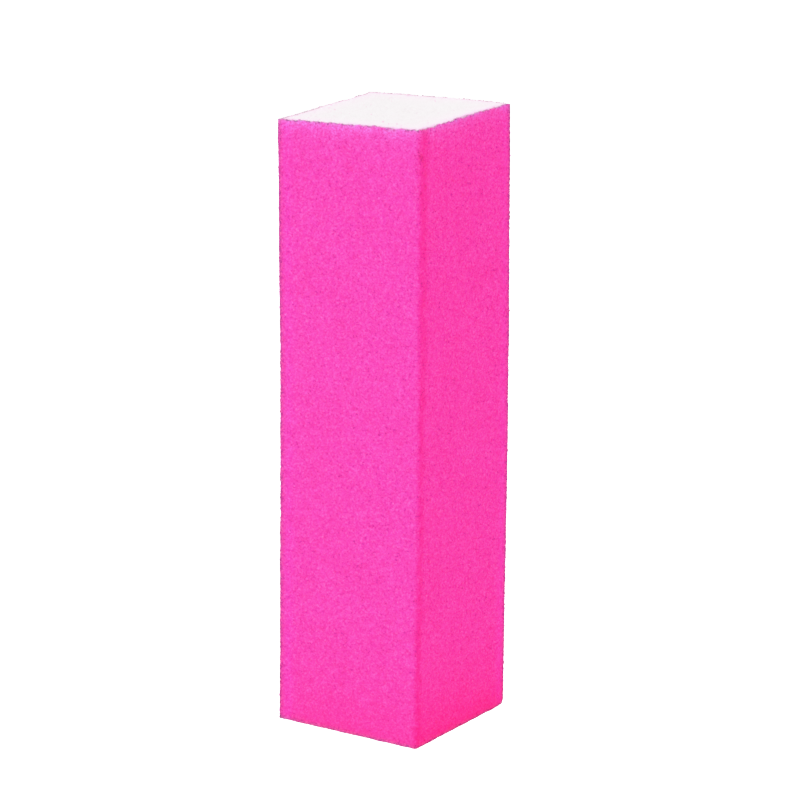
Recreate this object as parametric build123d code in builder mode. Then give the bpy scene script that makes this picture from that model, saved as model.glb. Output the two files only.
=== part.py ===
"""Nail buffer block: a square foam bar with an abrasive sheet folded once round its four long sides.

Going outward, the pieces are a closed-cell foam core, the glue film that holds the sheet on, the
cloth that backs the sheet, and the pink resin coat that carries the grit. The sheet's two ends
meet in a narrow seam on the back face, near the back left edge. All four pieces are cut flush at
both short ends, so the foam shows there with the sheet's cut edge round it.

Frame: the origin is the centre of the bottom end. +Z runs along the block, -Y is the front face
and +X the right face. Lengths are in mm.
"""

from build123d import *
import os

# Block
length = 95.0  # cut length, end to end
coat_width = 25.4  # outside of the block, the same on all four sides

# Layers
coat_thickness = 0.12  # resin and grit
cloth_thickness = 0.20
glue_thickness = 0.08
core_edge_radius = 0.15  # the foam's long edges, softened where the sheet is pulled round them

# Seam
seam_gap = 0.25  # left between the sheet's two ends
seam_past_edge = 2.0  # from the block's left face to the middle of the seam
seam_cutter_depth = 2.0  # centred on the back face, so half of it reaches inward

# Each layer's outline is a rounded square, and its corner radius grows with the layers under it
core_width = coat_width - 2 * (coat_thickness + cloth_thickness + glue_thickness)
glue_width = core_width + 2 * glue_thickness
cloth_width = glue_width + 2 * cloth_thickness
glue_edge_radius = core_edge_radius + glue_thickness
cloth_edge_radius = glue_edge_radius + cloth_thickness
coat_edge_radius = cloth_edge_radius + coat_thickness

# Outlines: side, side, corner radius
core_outline = (core_width, core_width, core_edge_radius)
glue_outline = (glue_width, glue_width, glue_edge_radius)
cloth_outline = (cloth_width, cloth_width, cloth_edge_radius)
coat_outline = (coat_width, coat_width, coat_edge_radius)

seam_centre = (-coat_width / 2 + seam_past_edge, coat_width / 2)


def export_layer(name, outer, inner=None, slit=False):
    """Extrude one layer to the block's length and write its STEP file.

    Without an inner outline the layer is a solid bar. A slit opens a sleeve at the seam.
    """
    with BuildPart() as layer:
        with BuildSketch(Plane.XY):
            RectangleRounded(*outer)
            if inner:
                RectangleRounded(*inner, mode=Mode.SUBTRACT)
            if slit:
                with Locations(seam_centre):
                    Rectangle(seam_gap, seam_cutter_depth, mode=Mode.SUBTRACT)
        extrude(amount=length)
    layer.part.label = name
    export_step(layer.part, f"parts/{name}.step")


os.makedirs("parts", exist_ok=True)

# Foam core: the square bar
export_layer("foam_core", core_outline)

# Glue film: a closed sleeve, so the foam is glued under the seam as well
export_layer("glue_film", glue_outline, inner=core_outline)

# Backing cloth: an open sleeve, slit along its whole length
export_layer("backing_cloth", cloth_outline, inner=glue_outline, slit=True)

# Abrasive coat: the outside of the sheet, slit where the cloth is
export_layer("abrasive_coat", coat_outline, inner=cloth_outline, slit=True)
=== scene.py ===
"""Looks of the nail buffer block: a foam bar with a pink grit-coated sheet folded once round its four long sides.

Every layer is built in millimetres on the sheet laid flat, where s runs round the block from one side of the seam to
the other and z runs along it. profile() folds that round the block, and settle() gives the whole block the small bend
and the off-square top cut of the real one. Everything rides on the one body, and the CAD nodes are stood for.
"""

import math

import bpy
import numpy as np
from mathutils import Matrix, Vector


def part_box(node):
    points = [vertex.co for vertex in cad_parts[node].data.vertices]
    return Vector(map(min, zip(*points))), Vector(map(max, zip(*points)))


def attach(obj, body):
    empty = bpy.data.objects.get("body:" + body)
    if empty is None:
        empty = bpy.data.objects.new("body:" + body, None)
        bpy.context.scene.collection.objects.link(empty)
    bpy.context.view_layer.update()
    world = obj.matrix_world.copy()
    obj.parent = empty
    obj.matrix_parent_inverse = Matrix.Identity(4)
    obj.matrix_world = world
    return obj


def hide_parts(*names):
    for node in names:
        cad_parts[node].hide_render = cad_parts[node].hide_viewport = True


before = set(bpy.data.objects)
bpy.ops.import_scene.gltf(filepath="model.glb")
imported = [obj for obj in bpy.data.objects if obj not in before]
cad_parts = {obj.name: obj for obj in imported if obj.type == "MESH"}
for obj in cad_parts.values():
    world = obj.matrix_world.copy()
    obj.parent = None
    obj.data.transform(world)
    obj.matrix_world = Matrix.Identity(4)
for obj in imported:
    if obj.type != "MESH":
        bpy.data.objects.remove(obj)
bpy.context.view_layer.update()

# ---------------------------------------------------------------- sizes, in mm, from the CAD nodes
low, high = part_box("abrasive_coat")
HALF = (high.x - low.x) * 500
LENGTH = (high.z - low.z) * 1000
COAT = HALF - (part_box("backing_cloth")[1].x * 1000)
CLOTH = (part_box("backing_cloth")[1].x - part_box("glue_film")[1].x) * 1000
GLUE = (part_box("glue_film")[1].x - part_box("foam_core")[1].x) * 1000
UNDER = COAT + CLOTH + GLUE  # the foam's depth below the outside
EDGE = 0.55  # outside radius of the long edges
GAP = 0.25  # left between the sheet's two ends
SEAM_X = -HALF + 2.0

STRAIGHT = 2 * (HALF - EDGE)
ARC = math.pi / 2 * EDGE
START_X = SEAM_X - GAP / 2
LEAD = START_X + HALF - EDGE  # from the seam to the first bend
RUN = [LEAD, ARC, STRAIGHT, ARC, STRAIGHT, ARC, STRAIGHT, ARC, STRAIGHT - LEAD]
STOPS = np.concatenate([[0], np.cumsum(RUN)])
AROUND = STOPS[-1]  # all the way round, the gap included
SHEET = AROUND - GAP  # the sheet's own width, laid flat
BENDS = [(STOPS[i] + STOPS[i + 1]) / 2 for i in (1, 3, 5, 7)]  # back left, front left, front right, back right


def profile(s, depth=0.0):
    """x, y and the outward normal at s round the block, depth mm below the outside."""
    s = np.asarray(s, float) % AROUND
    flat = HALF - EDGE
    x, y = np.zeros_like(s), np.zeros_like(s)
    nx, ny = np.zeros_like(s), np.zeros_like(s)
    starts = [  # for each straight: its start, its direction and its outward normal
        (0, (START_X, HALF), (-1, 0), (0, 1)),
        (2, (-HALF, flat), (0, -1), (-1, 0)),
        (4, (-flat, -HALF), (1, 0), (0, -1)),
        (6, (HALF, -flat), (0, 1), (1, 0)),
        (8, (flat, HALF), (-1, 0), (0, 1)),
    ]
    for i, at, way, out in starts:
        m = (s >= STOPS[i]) & (s <= STOPS[i + 1])
        t = s[m] - STOPS[i]
        x[m], y[m] = at[0] + way[0] * t, at[1] + way[1] * t
        nx[m], ny[m] = out
    turns = [
        (1, (-flat, flat), 90),
        (3, (-flat, -flat), 180),
        (5, (flat, -flat), 270),
        (7, (flat, flat), 0),
    ]
    for i, centre, a0 in turns:
        m = (s > STOPS[i]) & (s < STOPS[i + 1])
        a = np.radians(a0 + (s[m] - STOPS[i]) / ARC * 90)
        nx[m], ny[m] = np.cos(a), np.sin(a)
        x[m], y[m] = centre[0] + EDGE * nx[m], centre[1] + EDGE * ny[m]
    return x - nx * depth, y - ny * depth, nx, ny


def settle(p):
    """The real block isn't a perfect prism: its top end is cut a little off square, and it bends by under half a millimetre."""
    p = np.array(p, float)
    x, y, t = p[:, 0] / HALF, p[:, 1] / HALF, p[:, 2] / LENGTH
    out = p.copy()
    out[:, 2] += t * (-0.080 + 0.645 * x - 0.032 * y - 0.19 * np.exp(-((1 - x) ** 2 + (1 - y) ** 2) * (HALF / 4.5) ** 2))
    bend = np.sin(math.pi * np.clip(t, 0, 1))
    out[:, 0] += bend * 0.066
    out[:, 1] += bend * 0.399
    # the foot is knocked in at its back right corner
    r2, up = (HALF - p[:, 0]) ** 2 + (HALF - p[:, 1]) ** 2, np.clip(p[:, 2], 0, None)
    out += np.exp(-r2 / 0.64 - (up / 0.5) ** 2)[:, None] * np.array([-0.11, -0.11, 0.06])
    out[:, 2] += 0.25 * np.exp(-r2 / 3.2 - up**2)
    return out / 1000


# ---------------------------------------------------------------- random fields
def field(shape, step, size, seed, stretch=1.0):
    """A smooth random field with mean 0 and deviation 1, whose bumps are about size mm across."""
    rng = np.random.RandomState(seed)
    w = np.fft.rfft2(rng.standard_normal(shape))
    f0 = np.fft.fftfreq(shape[0], step)[:, None] * stretch
    f1 = np.fft.rfftfreq(shape[1], step)[None, :]
    w *= np.exp(-((f0**2 + f1**2) * (size * 0.75) ** 2) * 2)
    out = np.fft.irfft2(w, s=shape)
    return (out - out.mean()) / out.std()


def at(grid, s, z, step):
    """Reads a grid made over the sheet laid flat, between its points."""
    u = np.clip(np.asarray(s) / step, 0, grid.shape[0] - 1.001)
    v = np.clip(np.asarray(z) / step, 0, grid.shape[1] - 1.001)
    i, j = u.astype(int), v.astype(int)
    a, b = u - i, v - j
    return (
        grid[i, j] * (1 - a) * (1 - b)
        + grid[i + 1, j] * a * (1 - b)
        + grid[i, j + 1] * (1 - a) * b
        + grid[i + 1, j + 1] * a * b
    )


FINE = 0.2
SHAPE = (int(AROUND / FINE) + 3, int(LENGTH / FINE) + 3)
swell = field(SHAPE, FINE, 16, 11)
ripple = field(SHAPE, FINE, 4, 12)
peel = field(SHAPE, FINE, 1.3, 13)
clump = field(SHAPE, FINE, 0.55, 14)
blotch = field(SHAPE, FINE, 2.6, 15)
streak = field(SHAPE, FINE, 0.5, 16, stretch=5)
edge_wave = field((SHAPE[0], 8), FINE, 2.0, 17)[:, 0] * 0.65 + field((SHAPE[0], 8), FINE, 0.45, 18)[:, 0] * 0.6
foot_wave = field((SHAPE[0], 8), FINE, 2.0, 19)[:, 0]

# short scratches and dents in the grit: s, z, half length, angle in degrees, half width, depth
MARKS = [
    (33.0, 88.0, 0.55, 70, 0.10, 0.06),
    (37.8, 88.2, 0.40, 15, 0.09, 0.05),
    (34.2, 84.2, 0.45, 120, 0.09, 0.05),
    (52.4, 91.5, 0.60, 85, 0.14, 0.08),
    (52.7, 87.0, 0.35, 95, 0.11, 0.06),
]
rng = np.random.RandomState(5)
for _ in range(26):
    MARKS.append(
        (
            rng.uniform(3, SHEET - 3),
            rng.uniform(4, 91),
            rng.uniform(0.2, 0.7),
            rng.uniform(0, 180),
            rng.uniform(0.06, 0.11),
            rng.uniform(0.03, 0.06),
        )
    )


def marks(s, z):
    """How deep the short scratches go at each point."""
    out = np.zeros_like(s)
    for s0, z0, half, turn, wide, deep in MARKS:
        near = (abs(s - s0) < 1.4) & (abs(z - z0) < 1.4)
        a = math.radians(turn)
        ds, dz = s[near] - s0, z[near] - z0
        along = ds * math.cos(a) + dz * math.sin(a)
        across = -ds * math.sin(a) + dz * math.cos(a) + 0.12 * np.sin(along * 4)
        out[near] = np.maximum(
            out[near],
            deep * np.exp(-((across / wide) ** 2) - np.clip(abs(along) - half, 0, None) ** 2 / 0.02),
        )
    return out


def fold(s, z):
    """0 on the flats, 1 in the middle of the strip where the sheet is bent, where the coat is stretched and thin of grit.
    The strip lies a little to one side of each bend, and wanders further from it towards the top."""
    out = np.zeros_like(s)
    drift = at(blotch, s, z, FINE)
    up = np.clip(z / LENGTH, 0, 1)
    for b, way in zip(BENDS, (1, -1, 1, 1)):
        off = way * (s - b) - (0.20 + 0.85 * up + 0.10 * drift + 0.06 * at(peel, s, z, FINE))
        wide = np.where(off < 0, 0.68 + 0.32 * up, 0.62 + 0.58 * up)
        out = np.maximum(out, np.exp(-np.abs(off / wide) ** 2.2))
    return out * np.clip(0.90 + 0.18 * up + 0.16 * at(peel, s, z, FINE), 0.4, 1.2)


# painted shade of small pits near the top of the front right bend, which the surface doesn't dent: distance past the
# bend, z, radius, strength
PITS = [
    (0.30, 91.0, 0.30, 0.9),
    (0.75, 90.4, 0.24, 0.6),
    (0.00, 91.8, 0.22, 0.5),
    (1.20, 89.6, 0.24, 0.5),
    (1.50, 88.2, 0.24, 0.5),
    (1.50, 86.3, 0.24, 0.5),
    (0.45, 85.6, 0.22, 0.4),
]


def pits(s, z):
    out = np.zeros_like(s)
    for ds, z0, wide, deep in PITS:
        out += deep * np.exp(-((s - BENDS[2] - ds) ** 2 + (z - z0) ** 2) / (1.4 * wide**2))
    return np.clip(out, 0, 1)


def edge_shade(s, z):
    """1 along the middle of the bends at the block's front left and back right, which make the block's outline from the
    camera: painted shade along those two edges.
    """
    out = np.zeros_like(s)
    for b in (BENDS[1], BENDS[3]):
        out = np.maximum(out, np.exp(-(((s - b + 0.1) / 0.75) ** 2)))
    return out * np.clip(0.95 + 0.12 * at(clump, s, z, FINE), 0, 1.2)


def skin(s, z):
    """How far the resin stands out from the nominal outside, in mm."""
    d = (
        0.015
        + 0.035 * at(swell, s, z, FINE)
        + 0.014 * at(ripple, s, z, FINE)
        + 0.012 * at(peel, s, z, FINE)
        + 0.010 * at(clump, s, z, FINE)
    ).clip(-0.07, 0.2)
    for b in BENDS:  # fine cracks along each bend
        near = abs(s - b - 0.5) < 1.6
        groove = np.abs(np.sin((s - b) * 5.2 + 0.9 * at(blotch, s, z, FINE) + 0.6 * at(peel, s, z, FINE)))
        d = d - np.where(near, 0.022 * np.exp(-((s - b - 0.5) / 0.8) ** 2) * (1 - groove) ** 2, 0)
    edge = np.exp(-np.clip(LENGTH - z, 0, None) / 0.35) + np.exp(-np.clip(z, 0, None) / 0.35)
    seam = np.exp(-np.clip(s, 0, None) / 0.5) + np.exp(-np.clip(SHEET - s, 0, None) / 0.5)
    return np.maximum(d - 0.02 * edge + 0.02 * seam - marks(s, z), -COAT + 0.035)


def ragged(s):
    """1 on the front and right sides and less on the left and back ones, whose cut is cleaner."""
    return 1 - 0.5 * np.clip(BENDS[1] - s, 0, 1) - 0.5 * np.clip(s - BENDS[3], 0, 1)


def faded(s):
    """How pale the sheet's cut end is: most along the left side, and a little along the back."""
    left = np.clip((s - BENDS[0]) / 0.5, 0, 1) * np.clip((BENDS[1] - s) / 0.5, 0, 1)
    back = np.clip((BENDS[0] - s) / 0.5, 0, 1) + np.clip((s - BENDS[3]) / 0.5, 0, 1)
    return 0.85 * left + 0.35 * back


def cut(s, z):
    """Moves z so that the sheet's two cut ends are a little wavy, like a sawn edge."""
    wave = np.interp(s, np.arange(len(edge_wave)) * FINE, edge_wave)
    foot = np.interp(s, np.arange(len(foot_wave)) * FINE, foot_wave)
    near_top = np.exp(-((LENGTH - z) / 1.5).clip(0, 9))
    near_foot = np.exp(-(z / 1.5).clip(0, 9))
    return z + 0.10 * wave * ragged(s) * near_top + (0.02 + 0.02 * foot.clip(-1, 2)) * near_foot


def shift(s, z):
    """Moves s so that the two edges at the seam are a little wavy."""
    w = np.interp(z, np.arange(SHAPE[1]) * FINE, ripple[30])
    v = np.interp(z, np.arange(SHAPE[1]) * FINE, ripple[90])
    return s + 0.05 * w * np.exp(-s / 0.8) - 0.05 * v * np.exp(-(SHEET - s) / 0.8)


def folded(s, z, out):
    """Points in the row frame, in metres, for a place on the sheet and a height above its outside."""
    x, y, nx, ny = profile(shift(s, z), -out)
    return settle(np.column_stack([x, y, cut(s, z)]))


# ---------------------------------------------------------------- mesh building
def make(name, verts, faces, smooth=True):
    me = bpy.data.meshes.new(name)
    me.from_pydata(np.asarray(verts).tolist(), [], [list(map(int, f)) for f in faces])
    me.validate()
    me.polygons.foreach_set("use_smooth", [smooth] * len(me.polygons))
    me.update()
    ob = bpy.data.objects.new(name, me)
    bpy.context.scene.collection.objects.link(ob)
    return ob


def make_tris(name, verts, tris, smooth=False):
    """The same for a big all-triangle mesh, from arrays."""
    me = bpy.data.meshes.new(name)
    me.vertices.add(len(verts))
    me.vertices.foreach_set("co", np.asarray(verts, np.float32).ravel())
    me.loops.add(len(tris) * 3)
    me.loops.foreach_set("vertex_index", np.asarray(tris, np.int32).ravel())
    me.polygons.add(len(tris))
    me.polygons.foreach_set("loop_start", np.arange(len(tris), dtype=np.int32) * 3)
    me.polygons.foreach_set("use_smooth", np.full(len(tris), smooth))
    me.update(calc_edges=True)
    ob = bpy.data.objects.new(name, me)
    bpy.context.scene.collection.objects.link(ob)
    return ob


def uv_layer(ob, uv):
    """uv holds one pair per loop."""
    layer = ob.data.uv_layers.new(name="OFBake")
    layer.data.foreach_set("uv", np.asarray(uv, np.float32).ravel())


def attribute(ob, name, values):
    a = ob.data.attributes.new(name, "FLOAT", "POINT")
    a.data.foreach_set("value", np.asarray(values, np.float32))


def loops_of(ob):
    n = np.zeros(len(ob.data.loops), np.int32)
    ob.data.loops.foreach_get("vertex_index", n)
    return n


def poly_of_loops(ob):
    total = np.zeros(len(ob.data.polygons), np.int32)
    ob.data.polygons.foreach_get("loop_total", total)
    return np.repeat(np.arange(len(total)), total)


def zip_up(a, b, za, zb):
    """Triangles between two rows of points that run the same way."""
    i = j = 0
    out = []
    while i < len(a) - 1 or j < len(b) - 1:
        if j == len(b) - 1 or (i < len(a) - 1 and za[i + 1] <= zb[j + 1]):
            out.append((a[i], a[i + 1], b[j]))
            i += 1
        else:
            out.append((a[i], b[j + 1], b[j]))
            j += 1
    return out


def sheet_shell(name, top, bottom, columns, rows, inner_rows, closed, rough, seed):
    """A closed shell over the sheet between the heights top(s, z) and bottom(s, z). rough is how ragged its cut ends are.
    closed joins it round the block. Returns the object, each vertex's s and z, and each polygon's part: 0 outside, 1 inside and edges."""
    rng = np.random.RandomState(seed)
    span = AROUND if closed else SHEET
    s = np.linspace(0, span, columns + 1)
    if closed:
        s = s[:-1]
    n = len(s)
    tip = np.array([0, 0.10, 0.22, 0.38, 0.60])  # rows are closer together near the cut ends
    zo = np.concatenate([tip, np.linspace(0.9, LENGTH - 0.9, rows - 9), LENGTH - tip[::-1]])
    zi = np.linspace(0, LENGTH, inner_rows + 1)
    So, Zo = np.meshgrid(s, zo, indexing="ij")
    Si, Zi = np.meshgrid(s, zi, indexing="ij")
    outer = folded(So.ravel(), Zo.ravel(), top(So.ravel(), Zo.ravel()))
    inner = folded(Si.ravel(), Zi.ravel(), bottom(Si.ravel(), Zi.ravel()))
    # one row of ragged points between the outside and the inside at each cut end
    mids = []
    for z0, sign in ((0.0, -1), (LENGTH, 1)):
        zz = np.full(n, z0)
        mid = (top(s, zz) + bottom(s, zz)) / 2
        q = folded(s, zz, mid)
        q[:, 2] += sign * rng.uniform(-0.3, 1.0, n) * ragged(s) * rough / 1000 * (1 if sign > 0 else 0.15)
        mids.append(q)
    verts = np.vstack([outer, inner, mids[0], mids[1]])
    vs = np.concatenate([So.ravel(), Si.ravel(), s, s])
    vz = np.concatenate([Zo.ravel(), Zi.ravel(), np.zeros(n), np.full(n, LENGTH)])
    O = np.arange(n * (rows + 1)).reshape(n, rows + 1)
    I = len(outer) + np.arange(n * (inner_rows + 1)).reshape(n, inner_rows + 1)
    MB = len(outer) + len(inner) + np.arange(n)
    MT = MB + n
    faces, part = [], []
    last = n if closed else n - 1
    i = np.arange(last)
    k = (i + 1) % n
    quads = np.stack([O[i][:, :-1], O[k][:, :-1], O[k][:, 1:], O[i][:, 1:]], -1).reshape(-1, 4)
    faces += quads.tolist()
    part += [0] * len(quads)
    quads = np.stack([I[i][:, :-1], I[i][:, 1:], I[k][:, 1:], I[k][:, :-1]], -1).reshape(-1, 4)
    faces += quads.tolist()
    part += [1] * len(quads)
    for j in range(last):
        m = (j + 1) % n
        ends = [
            (O[j, -1], O[m, -1], MT[m], MT[j]),
            (MT[j], MT[m], I[m, -1], I[j, -1]),
            (O[m, 0], O[j, 0], MB[j], MB[m]),
            (MB[m], MB[j], I[j, 0], I[m, 0]),
        ]
        faces += ends
        part += [1] * 4
    if not closed:
        for col, flip in ((0, False), (n - 1, True)):
            a, za = O[col].tolist(), zo.tolist()
            b = [MB[col]] + I[col].tolist() + [MT[col]]
            zb = [0.0] + zi.tolist() + [LENGTH]
            tris = zip_up(a, b, za, zb)
            faces += [t[::-1] if flip else t for t in tris]
            part += [1] * len(tris)
    ob = make(name, verts, faces)
    part = np.array(part)
    # the outside fills the image, and the inside and the cut edges share a strip below it
    lv, lp = loops_of(ob), part[poly_of_loops(ob)]
    u = vs[lv] / AROUND
    if closed:  # the last column of quads runs on past the join, so its far side is 1, not 0
        face_first = np.repeat(
            np.array([min(f) for f in faces]), [len(f) for f in faces]
        )
        wide = (u < 0.02) & (vs[face_first] > 0.9 * AROUND)
        u = np.where(wide, 1.0, u)
    v = np.where(lp == 0, 0.05 + 0.95 * vz[lv] / LENGTH, 0.03 * vz[lv] / LENGTH)
    uv_layer(ob, np.column_stack([u, v]))
    return ob, vs, vz, part


# ---------------------------------------------------------------- materials
def links(mat):
    return mat.node_tree.nodes, mat.node_tree.links


class Nodes:
    """Small helper for writing node trees."""

    def __init__(self, name):
        self.mat = bpy.data.materials.new(name)
        self.mat.use_nodes = True
        self.n, self.l = links(self.mat)
        self.shader = self.n["Principled BSDF"]
        where = self.n.new("ShaderNodeTexCoord")
        scale = self.n.new("ShaderNodeVectorMath")
        scale.operation = "SCALE"
        scale.inputs["Scale"].default_value = 1000
        self.l.new(where.outputs["Object"], scale.inputs[0])
        self.mm = scale.outputs[0]

    def noise(self, per_mm, detail=2.0, rough=0.5, squeeze=None):
        t = self.n.new("ShaderNodeTexNoise")
        t.inputs["Scale"].default_value = per_mm
        t.inputs["Detail"].default_value = detail
        t.inputs["Roughness"].default_value = rough
        source = self.mm
        if squeeze:
            m = self.n.new("ShaderNodeMapping")
            m.inputs["Scale"].default_value = squeeze
            self.l.new(self.mm, m.inputs["Vector"])
            source = m.outputs[0]
        self.l.new(source, t.inputs["Vector"])
        return t.outputs["Fac"]

    def cells(self, per_mm, feature="F1", randomness=1.0):
        t = self.n.new("ShaderNodeTexVoronoi")
        t.feature = feature
        t.inputs["Scale"].default_value = per_mm
        t.inputs["Randomness"].default_value = randomness
        self.l.new(self.mm, t.inputs["Vector"])
        return t

    def ramp(self, fac, stops):
        """stops: (position, colour or grey)."""
        r = self.n.new("ShaderNodeValToRGB")
        e = r.color_ramp.elements
        while len(e) < len(stops):
            e.new(0.5)
        for el, (pos, c) in zip(e, stops):
            el.position = pos
            el.color = (*c, 1) if isinstance(c, tuple) else (c, c, c, 1)
        self.l.new(fac, r.inputs[0])
        return r.outputs[0]

    def mix(self, fac, a, b, kind="MIX"):
        m = self.n.new("ShaderNodeMix")
        m.data_type = "RGBA"
        m.blend_type = kind
        m.clamp_factor = True
        for value, i in ((fac, 0), (a, 6), (b, 7)):
            if isinstance(value, (int, float)):
                m.inputs[i].default_value = value if i == 0 else (value, value, value, 1)
            elif isinstance(value, tuple):
                m.inputs[i].default_value = (*value, 1)
            else:
                self.l.new(value, m.inputs[i])
        return m.outputs[2]

    def math(self, op, a, b=None, c=None):
        m = self.n.new("ShaderNodeMath")
        m.operation = op
        for i, value in enumerate((a, b, c)):
            if value is None:
                continue
            if isinstance(value, (int, float)):
                m.inputs[i].default_value = value
            else:
                self.l.new(value, m.inputs[i])
        return m.outputs[0]

    def split(self, colour):
        """The red of a colour, as a number."""
        m = self.n.new("ShaderNodeSeparateColor")
        self.l.new(colour, m.inputs[0])
        return m.outputs[0]

    def attr(self, name):
        a = self.n.new("ShaderNodeAttribute")
        a.attribute_name = name
        return a.outputs["Fac"]

    def bump(self, height, strength, distance):
        b = self.n.new("ShaderNodeBump")
        b.inputs["Strength"].default_value = strength
        b.inputs["Distance"].default_value = distance / 1000
        self.l.new(height, b.inputs["Height"])
        self.l.new(b.outputs[0], self.shader.inputs["Normal"])

    def set(self, **values):
        for name, value in values.items():
            socket = self.shader.inputs[name.replace("_", " ")]
            if isinstance(value, (int, float)):
                socket.default_value = value
            elif isinstance(value, tuple):
                socket.default_value = (*value, 1) if len(value) == 3 else value
            else:
                self.l.new(value, socket)


# the pinks, as reflectances. The dye glows, so its red is a little over 1
PINK = (1.18, 0.0428, 0.464)
DUSTY = (0.86, 0.230, 0.86)
DARK_EDGE = (0.34, 0.055, 0.25)
CRUSHED = (0.46, 0.36, 0.47)
PIT_SHADE = (0.62, 0.12, 0.40)


def pink(name, rough, is_grain):
    m = Nodes(name)
    if is_grain:  # each grain has its own shade
        speck = m.attr("tint")
        tone = m.mix(1.0, m.ramp(speck, [(0.0, (0.64, 0.44, 0.78)), (0.25, (0.86, 0.74, 0.90)), (0.50, (1.04, 1.12, 1.03)), (0.75, (1.12, 1.62, 1.13)), (1.0, (1.22, 2.6, 1.26))]), PINK, "MULTIPLY")
    else:
        speck = m.split(m.cells(6.2).outputs["Color"])
        tone = m.mix(1.0, m.ramp(speck, [(0.0, (0.62, 0.36, 0.76)), (0.35, (0.92, 0.76, 0.94)), (0.70, (1.08, 1.30, 1.06)), (1.0, (1.22, 2.40, 1.24))]), PINK, "MULTIPLY")
    fine = m.ramp(m.noise(2.6, 2.0, 0.55), [(0.32, (0.87, 0.68, 0.94)), (0.68, (1.10, 1.37, 1.06))])
    tone = m.mix(1.0, tone, fine, "MULTIPLY")
    patch = m.ramp(m.noise(0.85, 2.0, 0.5), [(0.32, (0.99, 0.945, 0.97)), (0.68, (1.0, 1.06, 1.03))])
    tone = m.mix(1.0, tone, patch, "MULTIPLY")
    wide = m.ramp(m.noise(0.20, 2.0, 0.5), [(0.32, (1.0, 0.96, 0.98)), (0.68, (1.0, 1.04, 1.02))])
    tone = m.mix(1.0, tone, wide, "MULTIPLY")
    tone = m.mix(m.attr("fold"), tone, m.mix(1.0, tone, (0.985, 0.52, 0.82), "MULTIPLY"))
    # painted shade from the floor: the foot darker and a deeper pink
    tone = m.mix(m.attr("foot"), tone, m.mix(1.0, tone, (1.20, 0.60, 0.82), "MULTIPLY"))
    # painted sheen on the front face: a faint pale wash, with its red lowered a little for its brighter light
    tone = m.mix(m.attr("front_sheen"), tone, (1.0, 0.95, 0.98))
    front = m.math("MULTIPLY", m.math("SUBTRACT", m.attr("front_sheen"), 0.001), 77)
    tone = m.mix(front, tone, m.mix(1.0, tone, (0.86, 0.985, 0.965), "MULTIPLY"))
    loose = m.math("MULTIPLY", m.attr("dust"), m.math("MULTIPLY", speck, 2.1))
    tone = m.mix(m.math("MINIMUM", loose, 0.8), tone, DUSTY)
    # painted sheen beside the front left and back right bends
    tone = m.mix(m.attr("edge_sheen"), tone, m.mix(1.0, tone, (1.02, 1.05, 1.13), "MULTIPLY"))
    # painted contact shadow along the bottom edge, partly the crushed cut edge's own darker tone
    tone = m.mix(m.attr("sole"), tone, m.mix(1.0, tone, (0.50, 1.06, 0.75), "MULTIPLY"))
    # painted shade along the front left and back right bends
    tone = m.mix(m.attr("edge_shade"), tone, m.mix(1.0, tone, (0.42, 0.78, 0.50), "MULTIPLY"))
    # the painted shade on the ridge of those bends, paler and greyer
    tone = m.mix(m.attr("edge_shade_grey"), tone, m.mix(1.0, tone, (1.12, 2.60, 1.50), "MULTIPLY"))
    tone = m.mix(m.attr("hem"), tone, m.mix(1.0, tone, (0.96, 2.60, 1.04), "MULTIPLY"))
    broken = m.ramp(m.noise(0.9, 2.0, 0.6), [(0.42, 0.25), (0.58, 1.0)])
    tone = m.mix(m.math("MULTIPLY", m.attr("rim"), broken), tone, CRUSHED)
    # painted shade of the small pits
    tone = m.mix(m.attr("pit_shade"), tone, m.mix(1.0, tone, PIT_SHADE, "MULTIPLY"))
    # the crushed rim of the cut ends is darker in dashes: painted shadow in the gaps of the ragged cut, partly the dark
    # backing showing there
    dash = m.math("SUBTRACT", m.math("SUBTRACT", m.noise(1.9, 3.0, 0.7), 0.495), m.math("MULTIPLY", m.attr("down"), 0.32))
    dash = m.math("MULTIPLY", dash, 10.0)
    dash = m.math("MINIMUM", m.math("MAXIMUM", dash, 0.0), 0.9)
    tone = m.mix(dash, tone, DARK_EDGE)
    tone = m.mix(m.attr("pale"), tone, (0.95, 0.87, 0.91))
    m.set(Base_Color=tone)
    m.set(Roughness=m.ramp(m.noise(3.1, 2.0), [(0.3, rough - 0.12), (0.7, min(rough + 0.10, 1.0))]))
    m.set(IOR=1.5, Specular_IOR_Level=0.12)
    return m


resin = pink("pink_resin", 0.62, False)
resin.bump(resin.noise(5.5, 3.0, 0.6), 0.5, 0.05)
grit = pink("pink_grit", 0.50, True)

cloth = Nodes("backing_cloth")
warp = cloth.n.new("ShaderNodeTexWave")
warp.bands_direction = "Z"
warp.inputs["Scale"].default_value = 0.55
warp.inputs["Distortion"].default_value = 0.6
cloth.l.new(cloth.mm, warp.inputs["Vector"])
weave = cloth.mix(0.5, warp.outputs["Fac"], cloth.noise(3.0, 3.0), "MIX")
woven = cloth.mix(0.6, cloth.ramp(weave, [(0.25, (0.66, 0.48, 0.58)), (0.75, (0.90, 0.74, 0.83))]), cloth.ramp(cloth.noise(1.1, 3.0), [(0.38, (0.42, 0.27, 0.36)), (0.48, (0.90, 0.75, 0.83))]))
cloth.set(Base_Color=cloth.mix(cloth.attr("pale"), woven, (0.95, 0.90, 0.92)))
cloth.set(Roughness=0.9, Specular_IOR_Level=0.2)
cloth.bump(weave, 0.6, 0.05)

thread = Nodes("cut_thread")
thread.set(Base_Color=thread.ramp(thread.noise(0.8, 2.0), [(0.40, (0.26, 0.18, 0.23)), (0.62, (0.60, 0.47, 0.54))]))
thread.set(Roughness=thread.ramp(thread.noise(4.0, 1.0), [(0.3, 0.8), (0.7, 0.95)]), Specular_IOR_Level=0.2)

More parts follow.
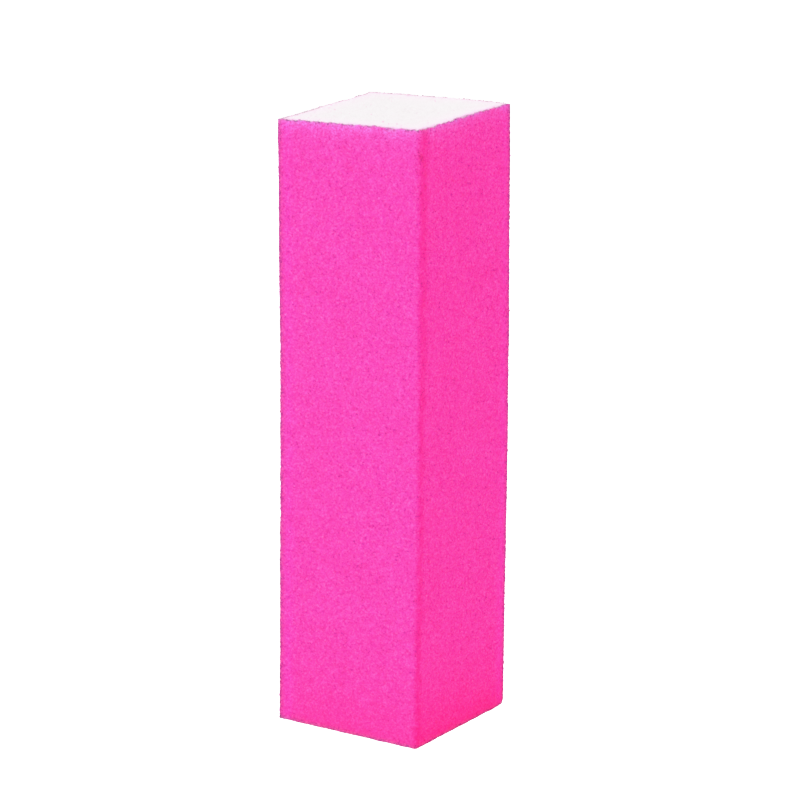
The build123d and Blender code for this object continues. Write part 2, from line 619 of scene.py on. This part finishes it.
glue = Nodes("glue_film")
film_tone = glue.ramp(glue.noise(1.2, 2.0), [(0.3, (0.92, 0.76, 0.86)), (0.7, (0.96, 0.84, 0.91))])
glue.set(Base_Color=glue.mix(glue.attr("pale"), film_tone, (0.95, 0.90, 0.92)))
glue.set(Roughness=glue.ramp(glue.noise(2.0, 2.0), [(0.3, 0.28), (0.7, 0.5)]), Specular_IOR_Level=0.5)
glue.bump(glue.noise(2.5, 2.0), 0.4, 0.05)

foam = Nodes("white_foam")
cell = foam.cells(2.3)
small = foam.cells(5.0)
tone = foam.ramp(cell.outputs["Distance"], [(0.05, (0.78, 0.745, 0.76)), (0.45, (0.885, 0.845, 0.860))])
tone = foam.mix(0.4, tone, foam.ramp(small.outputs["Distance"], [(0.05, (0.76, 0.725, 0.74)), (0.5, (0.90, 0.860, 0.875))]))
tone = foam.mix(foam.ramp(foam.noise(0.22, 3.0), [(0.45, 0.0), (0.75, 0.5)]), tone, (0.90, 0.835, 0.858))
# painted pink bounce light from the sheet on the foam near its edge
tone = foam.mix(foam.attr("rim"), tone, foam.ramp(foam.noise(0.9, 2.0), [(0.35, (1.06, 0.76, 0.94)), (0.65, (1.10, 0.825, 0.935))]))
# painted pink bounce light along the foam's front and right edges
tone = foam.mix(foam.attr("near_edge_bounce"), tone, (1.02, 0.60, 0.92))
# painted shade in the groove between foam and sheet along the left and back edges
tone = foam.mix(foam.attr("groove_shade"), tone, foam.ramp(foam.noise(0.6, 3.0), [(0.38, (0.40, 0.28, 0.36)), (0.60, (0.82, 0.66, 0.75))]))
foam.set(Base_Color=tone)
foam.set(Roughness=foam.ramp(foam.noise(1.5, 2.0), [(0.3, 0.78), (0.7, 0.92)]), Specular_IOR_Level=0.25)
foam.bump(small.outputs["Distance"], 0.35, 0.06)

fibre = Nodes("fibre")
fibre.set(Base_Color=fibre.ramp(fibre.noise(2.0, 2.0), [(0.35, (0.45, 0.12, 0.32)), (0.65, (0.93, 0.45, 0.72))]))
fibre.set(Roughness=fibre.ramp(fibre.noise(4.0, 1.0), [(0.3, 0.7), (0.7, 0.9)]), Specular_IOR_Level=0.2)

dust = Nodes("cutting_dust")
dust.set(Base_Color=dust.ramp(dust.noise(3.0, 1.0), [(0.35, (0.98, 0.18, 0.52)), (0.65, (1.0, 0.55, 0.76))]))
dust.set(Roughness=dust.ramp(dust.noise(4.0, 1.0), [(0.3, 0.6), (0.7, 0.9)]), Specular_IOR_Level=0.3)


def finish_piece(ob, mat, slot_name, *nodes):
    ob.data.materials.clear()
    ob.data.materials.append(mat.mat)
    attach(ob, "root")
    if nodes:
        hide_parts(*nodes)


def paint(ob, s, z, ends=0):
    """The colour controls that change over the sheet. ends is how many of the last points are on the cut end itself."""
    attribute(ob, "pit_shade", pits(s, z))
    attribute(ob, "fold", np.clip(fold(s, z), 0, 1.2))
    attribute(ob, "edge_shade", np.clip(edge_shade(s, z), 0, 1))
    # painted sheen a little way in from the front left and back right bends, stronger low down
    edge_sheen = [np.exp(-((abs(s - b) - 1.7) / 1.0) ** 2) for b in (BENDS[1], BENDS[3])]
    attribute(ob, "edge_sheen", np.maximum(*edge_sheen) * (0.6 + 0.4 * np.clip(1 - z / 40, 0, 1)))
    loose = at(blotch, s, z, FINE) * 0.5 + at(peel, s, z, FINE) * 0.5
    dust = 0.56 * np.exp(-(LENGTH - z) / 1.20) * (1 + 0.35 * loose)
    dust *= 1 - 0.28 * np.exp(-(((s - BENDS[1]) / 4) ** 2))
    dust *= 1 - 0.30 * np.clip((s - BENDS[2]) / 1.0, 0, 1)
    dust *= 1 - 0.6 * np.clip(fold(s, z), 0, 1)
    dust *= 1 - 0.85 * np.exp(-(((s - BENDS[2] - 1.5) / 1.5) ** 2) - ((z - 93.2) / 1.0) ** 2)
    attribute(ob, "dust", np.clip(dust, 0, 1))
    # the foot is painted darker and a deeper pink as a painted shade from the floor, more so on the right and back
    # sides
    side = np.clip((s - BENDS[2]) / 1.0, 0, 1)
    foot = (1 - side) * 0.62 * np.exp(-z / 9) + side * (1.30 * np.exp(-z / 4.4) + 0.19 * np.exp(-z / 14))
    foot *= 1 - 0.6 * np.exp(-(((s - BENDS[1]) / 4) ** 2)) - 0.5 * np.exp(-(((s - BENDS[3]) / 2.5) ** 2))
    attribute(ob, "foot", np.clip(foot * (1 + 0.15 * loose), 0, 1))
    # painted contact shadow along the very bottom edge, partly the crushed cut edge's own darker tone
    attribute(ob, "sole", np.exp(-((z / (0.70 - 0.10 * side)) ** 2)) * (0.74 + 0.20 * side))
    # the painted shade on the ridge of those two bends is paler and greyer, and the very edge of the foot is rubbed
    # almost bare
    ridge = np.maximum(*[np.exp(-(((s - b + 0.11) / 0.42) ** 2)) for b in (BENDS[1], BENDS[3])])
    attribute(ob, "edge_shade_grey", 0.9 * ridge)
    attribute(ob, "hem", np.exp(-((z / 0.34) ** 2)))
    # the front face gets the painted sheen
    front = np.clip((s - BENDS[1] + 0.4) / 0.8, 0, 1) * np.clip((BENDS[2] + 0.4 - s) / 0.8, 0, 1)
    attribute(ob, "front_sheen", 0.001 + 0.013 * front)
    crushed = 0.45 * np.exp(-(LENGTH - z) / 0.22) * (1 + 0.3 * np.clip(loose, -1.5, 1.5))
    if ends:
        crushed[-ends:] = 0.9
        pale = np.zeros_like(s)
        pale[-ends:] = faded(s[-ends:])
        attribute(ob, "pale", pale)
    crushed *= 1 - 0.5 * side
    attribute(ob, "rim", crushed)
    attribute(ob, "down", np.clip(np.minimum(LENGTH - z, z + 0.06), 0, 4) + 0.15 * side)


# ---------------------------------------------------------------- the sheet
coat, cs, cz, _ = sheet_shell(
    "abrasive_coat_sheet",
    skin,
    lambda s, z: np.full_like(s, -COAT + 0.01),
    columns=420,
    rows=196,
    inner_rows=12,
    closed=False,
    rough=0.07,
    seed=21,
)
paint(coat, cs, cz, ends=421)
finish_piece(coat, resin, "abrasive_coat", "abrasive_coat")

backing, bs, bz, _ = sheet_shell(
    "backing_cloth_sheet",
    lambda s, z: np.full_like(s, -COAT - 0.004),
    lambda s, z: np.full_like(s, -COAT - CLOTH + 0.008),
    columns=420,
    rows=24,
    inner_rows=24,
    closed=False,
    rough=0.08,
    seed=22,
)
attribute(backing, "pale", faded(bs) * np.exp(-(LENGTH - bz) / 0.3))
finish_piece(backing, cloth, "backing_cloth", "backing_cloth")

film, fs, fz, _ = sheet_shell(
    "glue_film_sleeve",
    lambda s, z: np.full_like(s, -COAT - CLOTH - 0.004),
    lambda s, z: np.full_like(s, -UNDER + 0.008),
    columns=420,
    rows=24,
    inner_rows=24,
    closed=True,
    rough=0.04,
    seed=23,
)
attribute(film, "pale", faded(fs) * np.exp(-(LENGTH - fz) / 0.3))
finish_piece(film, glue, "glue", "glue_film")


# ---------------------------------------------------------------- the grit
OCT = np.array([[1, 0, 0], [-1, 0, 0], [0, 1, 0], [0, -1, 0], [0, 0, 1], [0, 0, -1]], float)
OCT_FACES = np.array([[0, 2, 4], [2, 1, 4], [1, 3, 4], [3, 0, 4], [2, 0, 5], [1, 2, 5], [3, 1, 5], [0, 3, 5]])


def turned(n, rng):
    """n random rotations."""
    q = rng.standard_normal((n, 4))
    q /= np.linalg.norm(q, axis=1)[:, None]
    w, x, y, z = q.T
    return np.stack(
        [
            np.stack([1 - 2 * (y * y + z * z), 2 * (x * y - z * w), 2 * (x * z + y * w)], -1),
            np.stack([2 * (x * y + z * w), 1 - 2 * (x * x + z * z), 2 * (y * z - x * w)], -1),
            np.stack([2 * (x * z - y * w), 2 * (y * z + x * w), 1 - 2 * (x * x + y * y)], -1),
        ],
        -2,
    )


def crystals(n, size, rng, squash):
    """n sharp little crystals, 6 points and 8 faces each, in their own axes: along s, along z and out."""
    radii = rng.uniform(0.62, 1.12, (n, 6, 1))
    p = OCT[None] * radii * size[:, None, None]
    p = np.einsum("nij,nkj->nki", turned(n, rng), p)
    p[..., 2] *= squash
    return p


def grit_piece(name, spans, seed):
    rng = np.random.RandomState(seed)
    pitch = 0.309
    found_s, found_z = [], []
    for a, b in spans:
        cols = max(1, int(round((b - a) / pitch)))
        rows = int(round(LENGTH / pitch))
        S, Z = np.meshgrid(np.arange(cols), np.arange(rows), indexing="ij")
        S = a + (S + 0.5 + 0.5 * (Z % 2) - 0.25) * (b - a) / cols
        Z = (Z + 0.5) * LENGTH / rows
        found_s.append(S.ravel())
        found_z.append(Z.ravel())
    s, z = np.concatenate(found_s), np.concatenate(found_z)
    s = s + rng.uniform(-0.4, 0.4, len(s)) * pitch
    z = z + rng.uniform(-0.4, 0.4, len(z)) * pitch
    keep = (s > 0.1) & (s < SHEET - 0.1) & (z > 0.1) & (z < LENGTH - 0.1)
    # the grit is thin on the bends and gone from the scratches
    bare = 0.08 + 0.40 * fold(s, z) + np.clip(marks(s, z) * 14, 0, 0.9)
    keep &= rng.uniform(0, 1, len(s)) > bare
    s, z = s[keep], z[keep]
    n = len(s)
    size = 0.150 * np.exp(rng.standard_normal(n) * 0.25) * (1 + 0.10 * at(clump, s, z, FINE))
    size = np.clip(size, 0.08, 0.26)
    p = crystals(n, size, rng, 0.72)
    base = skin(s, z) - 0.15 * size
    x, y, nx, ny = profile(shift(s, z), -base)
    centre = np.column_stack([x, y, cut(s, z)])
    along = np.column_stack([-ny, nx, np.zeros(n)])
    out = np.column_stack([nx, ny, np.zeros(n)])
    up = np.array([0, 0, 1.0])
    q = centre[:, None] + p[..., :1] * along[:, None] + p[..., 1:2] * up + p[..., 2:] * out[:, None]
    verts = settle(q.reshape(-1, 3))
    tris = (np.arange(n)[:, None, None] * 6 + OCT_FACES[None]).reshape(-1, 3)
    ob = make_tris(name, verts, tris)
    tint = np.clip(0.43 + 0.26 * rng.standard_normal(n) + 0.10 * at(clump, s, z, FINE), 0, 1)
    pale = rng.uniform(0, 1, n) > 0.965
    tint[pale] = rng.uniform(0.85, 1.0, pale.sum())
    attribute(ob, "tint", np.repeat(tint, 6))
    paint(ob, np.repeat(s, 6), np.repeat(z, 6))
    # one flat patch of the image a grain, at its place on the side
    lo = min(a for a, b in spans)
    local = np.where(s < lo + 30, s - lo, s - lo) if len(spans) == 1 else np.where(s > 40, s - spans[0][0], s + (spans[0][1] - spans[0][0]))
    wide = sum(b - a for a, b in spans)
    u = np.repeat(local, 6) + p[..., 0].ravel()
    v = np.repeat(z, 6) + p[..., 1].ravel()
    lv = loops_of(ob)
    uv_layer(ob, np.column_stack([np.clip(u / wide, 0, 1)[lv], np.clip(v / LENGTH, 0, 1)[lv]]))
    finish_piece(ob, grit, "abrasive_coat")
    return ob


BL, FL, FR, BR = BENDS
grit_piece("grit_left", [(BL, FL)], 31)
grit_piece("grit_front", [(FL, FR)], 32)
grit_piece("grit_right", [(FR, BR)], 33)
grit_piece("grit_back", [(BR, SHEET), (0, BL)], 34)


# ---------------------------------------------------------------- the foam
def worley(x, y, pitch, seed, reach=1):
    """Distance from each point to the nearest of a jittered grid of sites, as a share of the pitch."""
    rng = np.random.RandomState(seed)
    n = 160
    jx, jy = rng.uniform(0, 1, (n, n)), rng.uniform(0, 1, (n, n))
    gx, gy = x / pitch + n // 2, y / pitch + n // 2
    ix, iy = np.floor(gx).astype(int), np.floor(gy).astype(int)
    best = np.full(x.shape, 9.0)
    for a in range(-reach, reach + 1):
        for b in range(-reach, reach + 1):
            u, v = (ix + a) % n, (iy + b) % n
            d = np.hypot(ix + a + jx[u, v] - gx, iy + b + jy[u, v] - gy)
            best = np.minimum(best, d)
    return best


CELLS = 184
inside = HALF - UNDER
soft = EDGE - UNDER  # the foam's own edge radius
line = np.linspace(-inside, inside, CELLS + 1)
X, Y = np.meshgrid(line, line, indexing="ij")


def round_corner(x, y):
    """Turns the square's corners into quarter circles."""
    c = inside - soft
    px, py = np.clip(abs(x) - c, 0, None), np.clip(abs(y) - c, 0, None)
    both = (px > 0) & (py > 0)
    scale = np.where(both, np.maximum(px, py) / np.maximum(np.hypot(px, py), 1e-9), 1)
    return (
        np.where(both, np.sign(x) * (c + px * scale), x),
        np.where(both, np.sign(y) * (c + py * scale), y),
    )


X, Y = round_corner(X, Y)
rim = inside - np.maximum(abs(X), abs(Y))  # how far in from the foam's edge
grid_step = line[1] - line[0]


def end_height(seed, top):
    big = worley(X, Y, 0.62, seed)
    tiny = worley(X, Y, 0.33, seed + 1)
    open_cells = field(X.shape, grid_step, 2.5, seed + 2)
    h = -0.07 * np.clip(1 - (big / 0.52) ** 2, 0, 1) * np.clip(0.6 + 0.4 * open_cells, 0.1, 1.3)
    h += -0.045 * np.clip(1 - (tiny / 0.55) ** 2, 0, 1)
    h += 0.035 * field(X.shape, grid_step, 7, seed + 3)
    # faint lines left by the blade
    along = X * 0.94 + Y * 0.34
    h += 0.014 * np.sin(along * 2.9 + 0.8 * field(X.shape, grid_step, 5, seed + 4))
    if top:
        h += 0.035 + 0.02 * field(X.shape, grid_step, 1.2, seed + 5)
    else:  # it stands on this end, so nothing hangs below the sheet
        h = 0.05 - h + 0.05 * np.exp(-rim / 0.3)
    return h


top_z = LENGTH + end_height(41, True)
foot_z = end_height(61, False)
m = CELLS + 1
ring = (
    [(i, 0) for i in range(CELLS)]
    + [(CELLS, j) for j in range(CELLS)]
    + [(i, CELLS) for i in range(CELLS, 0, -1)]
    + [(0, j) for j in range(CELLS, 0, -1)]
)
ri, rj = np.array(ring).T
levels = 18
verts = [np.column_stack([X.ravel(), Y.ravel(), top_z.ravel()]), np.column_stack([X.ravel(), Y.ravel(), foot_z.ravel()])]
index_top = np.arange(m * m).reshape(m, m)
index_foot = m * m + index_top
rings = [index_foot[ri, rj]]
base = 2 * m * m
wall_noise = field((len(ring), levels + 1), 0.5, 3, 71)
for k in range(1, levels):
    t = k / levels
    z0 = foot_z[ri, rj] * (1 - t) + top_z[ri, rj] * t
    x, y = X[ri, rj], Y[ri, rj]
    shrink = 1 - (0.012 + 0.008 * np.clip(wall_noise[:, k], -1.4, 1.4)) / inside
    verts.append(np.column_stack([x * shrink, y * shrink, z0]))
    rings.append(base + np.arange(len(ring)))
    base += len(ring)
rings.append(index_top[ri, rj])
quads = [
    np.stack([index_top[:-1, :-1], index_top[1:, :-1], index_top[1:, 1:], index_top[:-1, 1:]], -1).reshape(-1, 4),
    np.stack([index_foot[:-1, :-1], index_foot[:-1, 1:], index_foot[1:, 1:], index_foot[1:, :-1]], -1).reshape(-1, 4),
]
for k in range(levels):
    a, b = rings[k], rings[k + 1]
    quads.append(np.stack([a, np.roll(a, -1), np.roll(b, -1), b], -1))
verts = np.vstack(verts)
quads = np.vstack(quads)
core = make("foam_core_bar", settle(verts), quads)
# painted pink bounce light from the sheet, strongest at the foam's edge
foam_bounce = np.zeros(len(verts))
foam_bounce[: m * m] = 0.60 * np.exp(-((rim.ravel() / 2.6) ** 1.6)) + 0.40 * np.exp(-rim.ravel() / 0.6)
foam_bounce[m * m : 2 * m * m] = foam_bounce[: m * m]
attribute(core, "rim", foam_bounce)
# painted shade in the groove between foam and sheet along the left and back edges
groove_shade = np.zeros(len(verts))
groove_shade[: m * m] = 0.9 * (np.clip(np.maximum(-X, Y) / inside, 0, 1) ** 8 * np.exp(-((rim / 0.38) ** 2))).ravel()
attribute(core, "groove_shade", groove_shade)
# painted pink bounce light along the foam's front and right edges
near_edge_bounce = np.zeros(len(verts))
near_edge_bounce[: m * m] = 0.85 * (np.clip(np.maximum(X, -Y) / inside, 0, 1) ** 8 * np.exp(-rim / 0.45)).ravel()
attribute(core, "near_edge_bounce", near_edge_bounce)
# image layout: the two ends side by side, the four sides in a band below them
lv = loops_of(core)
lp = poly_of_loops(core)
n_end = CELLS * CELLS
uv = np.zeros((len(lv), 2))
v0 = verts[lv]
on_top, on_foot = lp < n_end, (lp >= n_end) & (lp < 2 * n_end)
uv[on_top] = np.column_stack([0.005 + 0.49 * (v0[on_top, 0] + inside) / (2 * inside), 0.505 + 0.49 * (v0[on_top, 1] + inside) / (2 * inside)])
uv[on_foot] = np.column_stack([0.505 + 0.49 * (v0[on_foot, 0] + inside) / (2 * inside), 0.505 + 0.49 * (v0[on_foot, 1] + inside) / (2 * inside)])
wall = ~(on_top | on_foot)
k_wall = (lp[wall] - 2 * n_end) % len(ring)
corner = np.arange(len(lv))[wall] % 4  # quads only, so a loop's place in its quad
across = (k_wall + np.where((corner == 1) | (corner == 2), 1, 0)) / len(ring)
uv[wall] = np.column_stack([across, 0.01 + 0.48 * np.clip(v0[wall, 2] / LENGTH, 0, 1)])
uv_layer(core, uv)
finish_piece(core, foam, "foam", "foam_core")


# ---------------------------------------------------------------- thread ends and loose fibres at the cut edges
def tubes(name, paths, radii, sides=4):
    """Closed tapering tubes along point rows, as one mesh. paths is (n, k, 3) in mm, radii is (n, k)."""
    n, k, _ = paths.shape
    d = np.gradient(paths, axis=1)
    d /= np.maximum(np.linalg.norm(d, axis=2, keepdims=True), 1e-9)
    helper = np.where(abs(d[..., :1]) > 0.8, [[[0, 1.0, 0]]], [[[1.0, 0, 0]]])
    a = np.cross(d, helper)
    a /= np.linalg.norm(a, axis=2, keepdims=True)
    b = np.cross(d, a)
    ang = np.arange(sides) / sides * 2 * math.pi
    circle = a[:, :, None] * np.cos(ang)[None, None, :, None] + b[:, :, None] * np.sin(ang)[None, None, :, None]
    body = paths[:, :, None] + circle * radii[:, :, None, None]
    body = body.reshape(n, k * sides, 3)
    tips = paths[:, [0, -1]]
    points = np.concatenate([body, tips], 1)
    per = k * sides + 2
    tris = []
    for i in range(k - 1):
        for j in range(sides):
            p, q = i * sides + j, i * sides + (j + 1) % sides
            r, t = p + sides, q + sides
            tris += [(p, q, t), (p, t, r)]
    for j in range(sides):
        tris.append((k * sides, (j + 1) % sides, j))
        tris.append((k * sides + 1, (k - 1) * sides + j, (k - 1) * sides + (j + 1) % sides))
    tris = np.array(tris)
    faces = (np.arange(n)[:, None, None] * per + tris[None]).reshape(-1, 3)
    return make_tris(name, settle(points.reshape(-1, 3)), faces, smooth=True), points.reshape(-1, 3)


def edge_point(s, z, depth):
    x, y, nx, ny = profile(shift(s, z), depth)
    return np.column_stack([x, y, cut(s, z)]), nx, ny


# the cloth's cut threads, standing in a row along the top edge
rng = np.random.RandomState(81)
count = 560
s = (np.arange(count) + 0.5) / count * SHEET + rng.uniform(-0.08, 0.08, count)
depth = COAT + CLOTH * rng.uniform(0.38, 0.62, count)
root, nx, ny = edge_point(s, np.full(count, LENGTH), depth)
tall = rng.uniform(0.0, 0.07, count) + np.where(ny > 0.7, 0.13, np.where(nx < -0.7, 0.02, 0.0))
k = 4
t = np.linspace(0, 1, k)[None, :, None]
lean = np.column_stack([rng.normal(0, 0.035, count), rng.normal(0, 0.035, count), tall])
start = root - np.array([0, 0, 0.25])
path = start[:, None] + t * (lean + np.array([0, 0, 0.25]))[:, None]
radii = np.tile(np.array([[1.0, 1.0, 0.95, 0.55]]), (count, 1)) * rng.uniform(0.050, 0.075, count)[:, None]
threads, _ = tubes("cloth_thread_ends", path, radii, 6)
finish_piece(threads, thread, "backing_cloth")

# loose fibres, mostly at the top
rng = np.random.RandomState(82)
count = 320
s = rng.uniform(0.3, SHEET - 0.3, count)
is_top = rng.uniform(0, 1, count) < 0.85
z0 = np.where(is_top, LENGTH, 0.0)
root, nx, ny = edge_point(s, z0, COAT * rng.uniform(0.2, 2.2, count))
sign = np.where(is_top, 1.0, 0.0)
long = 0.12 + 0.35 * rng.beta(1.2, 4.0, count)
long *= np.where(is_top & ((ny > 0.7) | (nx < -0.7)), 0.6, 1.0)
tuft = (abs(s - BENDS[1]) < 1.5) & is_top
long[tuft] += 0.45
k = 6
t = np.linspace(0, 1, k)[None, :, None]
lean_out = rng.normal(0.1, 0.5, count) + np.where(is_top, 0, 0.8)
lean_side = rng.normal(0, 0.6, count)
way = np.column_stack([nx * lean_out - ny * lean_side, ny * lean_out + nx * lean_side, sign * rng.uniform(0.5, 1.2, count) + (1 - sign) * 0.15])
way /= np.linalg.norm(way, axis=1)[:, None]
curl = rng.normal(0, 0.35, (count, 3))
curl[:, 2] = abs(curl[:, 2]) * 0.3
start = root - np.column_stack([np.zeros(count), np.zeros(count), sign * 0.08 - (1 - sign) * 0.06])
path = start[:, None] + t * (way * long[:, None])[:, None] + t**2 * (curl * long[:, None])[:, None]
radii = np.linspace(1, 0.45, k)[None] * rng.uniform(0.012, 0.026, count)[:, None]
fibres, _ = tubes("edge_fibres", path, radii, 4)
finish_piece(fibres, fibre, "backing_cloth")

# pink dust from the cut, lying on the foam's top
rng = np.random.RandomState(83)
count = 130
edge_bias = rng.beta(0.55, 0.55, (count, 2)) * 2 - 1
px, py = edge_bias[:, 0] * (inside - 0.25), edge_bias[:, 1] * (inside - 0.25)
size = np.clip(0.055 * np.exp(rng.standard_normal(count) * 0.4), 0.025, 0.15)
gi = np.clip(((px + inside) / grid_step).round().astype(int), 0, CELLS)
gj = np.clip(((py + inside) / grid_step).round().astype(int), 0, CELLS)
p = crystals(count, size, rng, 0.6)
centre = np.column_stack([px, py, top_z[gi, gj] + size * 0.25])
specks = make_tris("cutting_dust", settle((centre[:, None] + p).reshape(-1, 3)), (np.arange(count)[:, None, None] * 6 + OCT_FACES[None]).reshape(-1, 3))
finish_piece(specks, dust, "abrasive_coat")

# ---------------------------------------------------------------- floor, light and camera
floor = make("floor", np.array([[-15, -15, 0], [15, -15, 0], [15, 15, 0], [-15, 15, 0]], float), [[0, 1, 2, 3]], smooth=False)
mat = bpy.data.materials.new("pale_floor")
mat.use_nodes = True
n, l = links(mat)
n.clear()
out = n.new("ShaderNodeOutputMaterial")
plain = n.new("ShaderNodeBsdfDiffuse")
plain.inputs["Color"].default_value = (0.86, 0.86, 0.86, 1)
lit = n.new("ShaderNodeEmission")
lit.inputs["Color"].default_value = (1, 1, 1, 1)
lit.inputs["Strength"].default_value = 4.0
seen = n.new("ShaderNodeMixShader")
seen.inputs[0].default_value = 0.80
camera_only = n.new("ShaderNodeLightPath")
pick = n.new("ShaderNodeMixShader")
l.new(plain.outputs[0], seen.inputs[1])
l.new(lit.outputs[0], seen.inputs[2])
l.new(camera_only.outputs["Is Camera Ray"], pick.inputs[0])
l.new(plain.outputs[0], pick.inputs[1])
l.new(seen.outputs[0], pick.inputs[2])
l.new(pick.outputs[0], out.inputs["Surface"])
floor.data.materials.append(mat)

scene = bpy.context.scene
world = bpy.data.worlds.new("studio")
scene.world = world
world.use_nodes = True
n, l = world.node_tree.nodes, world.node_tree.links
n.clear()
out = n.new("ShaderNodeOutputWorld")
sky = n.new("ShaderNodeBackground")
sky.inputs["Color"].default_value = (1, 1, 1, 1)
sky.inputs["Strength"].default_value = 0.96
back = n.new("ShaderNodeBackground")
back.inputs["Color"].default_value = (1, 1, 1, 1)
back.inputs["Strength"].default_value = 4.0
path_node = n.new("ShaderNodeLightPath")
pick = n.new("ShaderNodeMixShader")
l.new(path_node.outputs["Is Camera Ray"], pick.inputs[0])
l.new(sky.outputs[0], pick.inputs[1])
l.new(back.outputs[0], pick.inputs[2])
l.new(pick.outputs[0], out.inputs["Surface"])


def softbox(name, way, distance, size, power, target=(0, 0, 0.05)):
    lamp = bpy.data.lights.new(name, "AREA")
    lamp.shape = "SQUARE"
    lamp.size = size
    lamp.energy = power
    ob = bpy.data.objects.new(name, lamp)
    scene.collection.objects.link(ob)
    way = Vector(way).normalized()
    ob.location = Vector(target) + way * distance
    ob.rotation_mode = "QUATERNION"
    ob.rotation_quaternion = way.to_track_quat("Z", "Y")
    return ob


softbox("key", (-0.42, -0.84, 0.30), 1.2, 0.7, 4.0)
softbox("back_fill", (-0.25, 0.85, 0.45), 1.3, 0.8, 2.4)

cam_data = bpy.data.cameras.new("camera")
cam_data.sensor_width = 36
cam_data.lens = 4385.8 / 800 * 36
cam = bpy.data.objects.new("camera", cam_data)
scene.collection.objects.link(cam)
az, el, roll = math.radians(33.235), math.radians(15.5297), math.radians(0.2933)
back_way = Vector((math.sin(az) * math.cos(el), -math.cos(az) * math.cos(el), math.sin(el)))
right_way = Vector((math.cos(az), math.sin(az), 0))
up_way = right_way.cross(-back_way)
r2 = right_way * math.cos(roll) + up_way * math.sin(roll)
u2 = up_way * math.cos(roll) - right_way * math.sin(roll)
cam.matrix_world = Matrix(
    (
        (r2.x, u2.x, back_way.x, 0.353230),
        (r2.y, u2.y, back_way.y, -0.537155),
        (r2.z, u2.z, back_way.z, 0.228690),
        (0, 0, 0, 1),
    )
)
cam_data.clip_start, cam_data.clip_end = 0.05, 60
scene.camera = cam
scene.cycles.filter_width = 1.85  # a soft lens

# the picture: neutral, with a soft shoulder so that the brightest reds roll off instead of clipping
scene.view_settings.view_transform = "Standard"
scene.view_settings.look = "None"
scene.view_settings.use_curve_mapping = True
curve = scene.view_settings.curve_mapping
curve.use_clip = False
curve.white_level = (2.0, 2.0, 2.0)
c = curve.curves[3]
for x, y in ((0.40, 0.80), (0.45, 0.895), (0.475, 0.930), (0.50, 0.951), (0.54, 0.963), (0.62, 0.974), (0.75, 0.986)):
    c.points.new(x, y)
for p in c.points:
    p.handle_type = "VECTOR"
curve.update()
